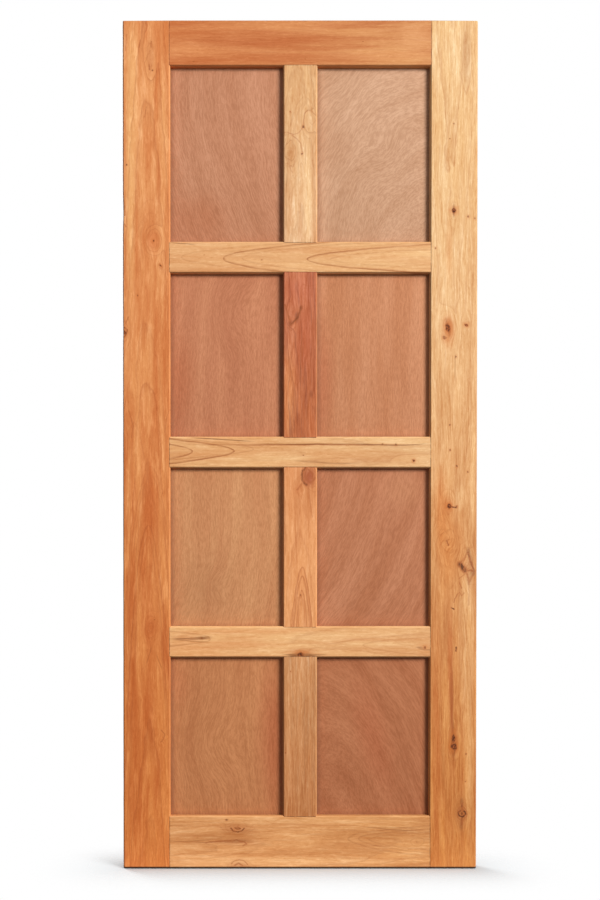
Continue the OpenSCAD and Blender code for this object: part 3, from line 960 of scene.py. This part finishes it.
LOOKS["top_muntin"] = Timber(
    low=((225, 180, 134), (212, 157, 110)), high=((220, 173, 122), (206, 152, 101)),
    line=(162, 103, 59), pith=(-4, 50), spacing=6, taper=0.03, rings=0.6, seed=8, ripple=6.5, streaks=1,
    seams=[(1600, -30, 0, 0, 90, 0.25)],
    arches=[(1850, 12, -0.06, 0.3), (1835, 12, -0.1, 0.25)],
    knots=[Knot(1790, 20, reach=(50, 24), lift=16), Knot(1720, -20, reach=(60, 26), lift=16)],
    strokes=[
        (1.7, 0.42, [(1798, 9), (1810, 10), (1817, 17), (1816, 27), (1806, 37)]),
        (1.6, 0.38, [(1798, 9), (1783, 7)]), (1.4, 0.26, [(1788, 23), (1782, 29), (1794, 37)]),
        (1.6, 0.38, [(1777, 6), (1764, -3), (1760, -17), (1766, -33), (1764, -41)]),
        (1.7, 0.42, [(1758, -20), (1754, -13), (1740, 1), (1715, 5)]),
        (1.4, 0.3, [(1699, -13), (1683, -17), (1691, -33)]),
        (1.7, 0.34, [(1703, -28), (1683, -25), (1669, -19)])],
    pins=[(1814, -24, 1.6), (1779, 7, 3), (1714, 4, 2.2)],
    tints=[
        (1715, -22, 62, 22, (199, 141, 90), 0.7), (1600, -26, 130, 14, (201, 143, 94), 0.5),
        (1610, 18, 180, 17, (239, 198, 146), 0.6)])
LOOKS["upper_muntin"] = Timber(
    low=((191, 108, 63), (161, 82, 44)), high=((208, 127, 87), (178, 97, 64)), line=(120, 55, 34),
    pith=(-60, 60), spacing=8, taper=0.04, rings=0.5, seed=9, streaks=1.7,
    seams=[(1230, 3, 0.01, 0, 90, 0.3), (1120, -4, 0.02, 0, 60, 0.2)],
    knots=[Knot(1330, -20, reach=(50, 24), lift=10), Knot(1120, 30, reach=(60, 14), lift=8)],
    strokes=[
        (3, 0.64, [(1354, -36), (1314, -24), (1306, -22)]),
        (4.4, 0.72, [(1350, 3), (1338, -1), (1322, -7), (1306, -22)]),
        (1.8, 0.38, [(1300, -30), (1292, -22), (1300, -12)]), (1.4, 0.34, [(1398, 2), (1350, 3)]),
        (1.4, 0.3, [(1404, 7), (1398, 19), (1402, 40)]), (1.2, 0.21, [(1394, 9), (1392, 40)]),
        (2, 0.42, [(1270, 4), (1230, 5)]), (2.2, 0.47, [(1143, 24), (1099, 17), (1079, 15)]),
        (2, 0.38, [(1143, 27), (1091, 37), (1079, 39)])],
    tints=[
        (1324, -8, 20, 7, (93, 50, 42), 0.55), (1347, 2, 9, 5, (81, 42, 36), 0.6),
        (1310, -22, 10, 8, (99, 52, 44), 0.45), (1140, 26, 12, 6, (105, 52, 40), 0.4),
        (1130, -26, 170, 22, (220, 141, 87), 0.65), (1270, 10, 120, 26, (172, 78, 47), 0.45),
        (1390, 0, 50, 44, (193, 105, 76), 0.4)])
LOOKS["lower_muntin"] = Timber(
    low=((236, 168, 110), (214, 140, 85)), high=((222, 150, 97), (202, 129, 78)), line=(178, 101, 56),
    pith=(2, 48), spacing=7, taper=0.045, start=0.3, rings=0.6, seed=10, streaks=0.95, ripple=4,
    arches=[(727, 4, -0.25, 0.7), (705, 4, -0.3, 0.7), (672, 4, -0.5, 0.6), (650, 4, -0.8, 0.4)],
    seams=[(860, -34, 0, 0, 60, 0.25), (790, -33, 0.02, 0, 50, 0.25)],
    knots=[Knot(944, 22, reach=(50, 26), lift=24, turn=-10), Knot(916, 2, reach=(30, 14), lift=8)],
    strokes=[
        (4.4, 0.75, [(964, 14), (957, 6), (944, 4), (931, 7), (923, 16)]),
        (3, 0.5, [(952, 22), (940, 14), (928, 26), (940, 36)]), (2.8, 0.5, [(926, 4), (912, -6)]),
        (1.8, 0.32, [(922, 18), (880, 25), (846, 29)]), (1.6, 0.32, [(966, 28), (952, 36)]),
        (2.6, 0.6, [(960, 20), (950, 30), (938, 30)]), (2.6, 0.55, [(954, 13), (944, 12), (934, 16)])],
    tints=[
        (944, 20, 26, 18, (150, 78, 56), 0.75), (944, 22, 36, 24, (175, 95, 61), 0.75),
        (912, -4, 26, 14, (203, 123, 71), 0.5), (690, 4, 80, 14, (205, 125, 71), 0.3)],
    pins=[(658, 1, 2)])
LOOKS["bottom_muntin"] = Timber(
    low=((200, 133, 83), (174, 107, 58)), high=((210, 148, 97), (182, 122, 75)), line=(142, 83, 46),
    pith=(-120, 70), spacing=5, taper=0.02, rings=0.3, seed=11, wisps=1.2, streaks=1.35,
    pins=[(475, -22, 1.3), (280, -34, 1.2)])
LOOKS["wedge"] = Timber(
    low=((226, 178, 126), (206, 152, 100)), high=((226, 178, 126), (206, 152, 100)),
    line=(160, 104, 62), pith=(-40, 60), spacing=3, taper=0.01, rings=0.4, seed=12)

PANEL_LOOKS = {}
PANEL_LOOKS["top_left_panel"] = Veneer(
    (193, 135, 102), (179, 120, 87), lean=-4, bend=-0.0005, crest=170, seed=1,
    tints=[(-70, -150, 110, 90, (177, 106, 70), 0.5)])
PANEL_LOOKS["top_right_panel"] = Veneer(
    (197, 153, 121), (182, 136, 103), centre=(160, -330), tall=1.6, seed=2,
    eddies=[(24, 4, 110, 90, 22)],
    tints=[(-90, 20, 60, 90, (174, 125, 91), 0.4)])
PANEL_LOOKS["upper_left_panel"] = Veneer(
    (195, 129, 92), (179, 112, 78), lean=3, bend=-0.0002, crest=-60, seed=3,
    eddies=[(0, 110, 90, 130, 34)],
    tints=[(-110, -60, 50, 160, (176, 99, 63), 0.45)])
PANEL_LOOKS["upper_right_panel"] = Veneer(
    (195, 134, 96), (181, 117, 78), lean=1, drift=16, seed=4,
    tints=[(-120, -60, 40, 200, (176, 100, 66), 0.5)])
PANEL_LOOKS["lower_left_panel"] = Veneer(
    (202, 143, 97), (189, 126, 83), lean=6, bend=0.0004, seed=5,
    eddies=[(-30, -90, 50, 60, 22)],
    tints=[(-50, -90, 90, 110, (176, 119, 78), 0.35)])
PANEL_LOOKS["lower_right_panel"] = Veneer(
    (187, 124, 89), (170, 106, 71), lean=13, bend=0.0005, crest=190, seed=6,
    tints=[(80, 140, 80, 70, (184, 123, 85), 0.5)])
PANEL_LOOKS["bottom_left_panel"] = Veneer(
    (195, 130, 84), (177, 111, 69), lean=-2, bend=-0.0004, seed=7,
    eddies=[(-40, -20, 110, 130, 36)],
    tints=[(116, -10, 62, 280, (173, 89, 56), 0.55), (-120, 130, 50, 90, (186, 109, 70), 0.35)])
PANEL_LOOKS["bottom_right_panel"] = Veneer(
    (181, 116, 79), (161, 96, 61), centre=(-80, -260), tall=2.2, lean=-14, seed=8,
    tints=[(0, 0, 60, 200, (169, 88, 55), 0.35)])


# ---------------------------------------------------------------- boards

SLICE = 14.0 * MM        # spacing of the cuts across a board
EASED = 0.5 * MM         # softening of each visible edge
CORNER = 4.5 * MM        # rounding of the leaf's four corners in the front view
WEAR = 0.35 * MM         # how far the bevels wander
WAVES = [(38, 0.6), (130, 0.4)]  # of the wear: (noise cells in a metre, share)
OUTSIDE = 15 * MM        # edges deeper than this either way can be seen
FRONT = 17 * MM          # beyond this depth, a point belongs to a face or its bevel
RIM = 3 * MM             # and this near to the leaf's side edges, to those
WELD = 0.01 * MM
FLAT = math.radians(0.3)     # faces at less than this angle become one
SHARP = math.radians(25)     # edges at more than this angle are eased
# Dents in the left side's front edge: (height and reach in metres, depth)
DENTS = [(1.574, 0.026, 1.0 * MM), (1.292, 0.012, 0.5 * MM)]


def softened(bm, edges, width, segments):
    bmesh.ops.bevel(bm, geom=edges, offset=width, offset_type="OFFSET", segments=segments,
                    profile=0.5, affect="EDGES", clamp_overlap=True)


def is_leaf_corner(edge):
    return all(
        abs(abs(vert.co.x) - leaf_high.x) < WELD
        and min(abs(vert.co.z - leaf_low.z), abs(vert.co.z - leaf_high.z)) < WELD
        for vert in edge.verts)


def is_visible_edge(edge):
    """A sharp edge on the leaf's outside: near a face or bevel of the frame."""
    near_face = all(abs(vert.co.y) > OUTSIDE for vert in edge.verts)
    return near_face and edge.calc_face_angle(0) > SHARP


def sliced(bm, axis, low, high):
    normal = Vector((0, 0, 0))
    normal[axis] = 1.0
    count = max(1, round((high - low) / SLICE))
    for step in range(1, count):
        point = normal * (low + (high - low) * step / count)
        geometry = bm.verts[:] + bm.edges[:] + bm.faces[:]
        bmesh.ops.bisect_plane(bm, geom=geometry, plane_co=point, plane_no=normal, dist=1e-6)


def worn(point, middle):
    """A board's point after wear: bevels and side edges drift inwards by part of a millimetre."""
    away = point - middle
    drift = sum(noise.noise(point * cells) * share for cells, share in WAVES)
    if abs(point.y) > FRONT:
        pull = WEAR * (0.5 + 0.5 * drift)
        point.y -= math.copysign(pull * 0.3, point.y)
    if leaf_high.x - abs(point.x) < RIM:
        pull = max(WEAR * (0.6 + 0.9 * drift), 0)
        if point.x < 0 and point.y <= 0:
            for height, reach, depth in DENTS:
                pull += depth * math.exp(-((point.z - height) / reach) ** 2)
        point.x -= math.copysign(pull, away.x)
    return point


def make_board(node, axis, low, high):
    """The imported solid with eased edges, and cut across often enough to show its wear."""
    bm = bmesh.new()
    bm.from_mesh(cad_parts[node].data)
    bmesh.ops.remove_doubles(bm, verts=bm.verts, dist=WELD)
    bmesh.ops.dissolve_limit(bm, angle_limit=FLAT, verts=bm.verts, edges=bm.edges)
    corners = [edge for edge in bm.edges if is_leaf_corner(edge)]
    if corners:
        softened(bm, corners, CORNER, 3)
    softened(bm, [edge for edge in bm.edges if is_visible_edge(edge)], EASED, 2)
    sliced(bm, axis, low[axis], high[axis])
    for vert in bm.verts:
        vert.co = worn(vert.co.copy(), (low + high) / 2)
    bmesh.ops.triangulate(bm, faces=bm.faces[:])
    mesh = bpy.data.meshes.new(node + "_board")
    bm.to_mesh(mesh)
    bm.free()
    board = bpy.data.objects.new(node + "_board", mesh)
    bpy.context.scene.collection.objects.link(board)
    return board


def finish_board(node, along, shoulders=None):
    """Puts a worn, patterned board in place of a packed one. shoulders are where its joints show."""
    axis = "xyz".index(along)
    low, high = (Vector(corner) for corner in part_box(node))
    board = make_board(node, axis, low, high)
    reach = (low[axis] / MM, high[axis] / MM)
    material = timber_material(node, LOOKS[node], along, (low + high) / 2, reach, shoulders)
    board.data.materials.append(material)
    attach(board, "root")
    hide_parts(node)


def box_mm(node):
    low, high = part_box(node)
    return [value / MM for value in low], [value / MM for value in high]


for stile in ("left_stile", "right_stile"):
    finish_board(stile, "z")
shoulder = abs(box_mm("left_stile")[1][0]) + STICKING
for rail in RAILS:
    finish_board(rail, "x", (-shoulder, shoulder))
for above, below, name in zip(RAILS, RAILS[1:], ROWS):
    top = box_mm(above)[0][2] + STICKING
    bottom = box_mm(below)[1][2] - STICKING
    finish_board(name + "_muntin", "z", (bottom, top))


# ---------------------------------------------------------------- panels and wedges

def repaint(node, material):
    """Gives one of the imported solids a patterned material."""
    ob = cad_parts[node]
    ob.data.materials.clear()
    ob.data.materials.append(material)


for above, below, name in zip(RAILS, RAILS[1:], ROWS):
    muntin_low, muntin_high = box_mm(name + "_muntin")
    bottom, top = box_mm(below)[1][2], box_mm(above)[0][2]
    sides = {
        "left": (box_mm("left_stile")[1][0], muntin_low[0]),
        "right": (muntin_high[0], box_mm("right_stile")[0][0]),
    }
    for side, (left, right) in sides.items():
        panel = f"{name}_{side}_panel"
        low, high = (Vector(corner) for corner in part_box(panel))
        opening = (left, right, bottom, top)
        repaint(panel, veneer_material(panel, PANEL_LOOKS[panel], (low + high) / 2, opening))

LEAF_SPAN = (leaf_low.x / MM, leaf_high.x / MM)
wedge_material = timber_material("wedge", LOOKS["wedge"], "x", leaf_middle, LEAF_SPAN)
for rail in RAILS:
    for side in ("left", "right"):
        for edge in ("upper", "lower"):
            repaint(f"{rail}_{side}_{edge}_wedge", wedge_material)

bpy.context.view_layer.update()
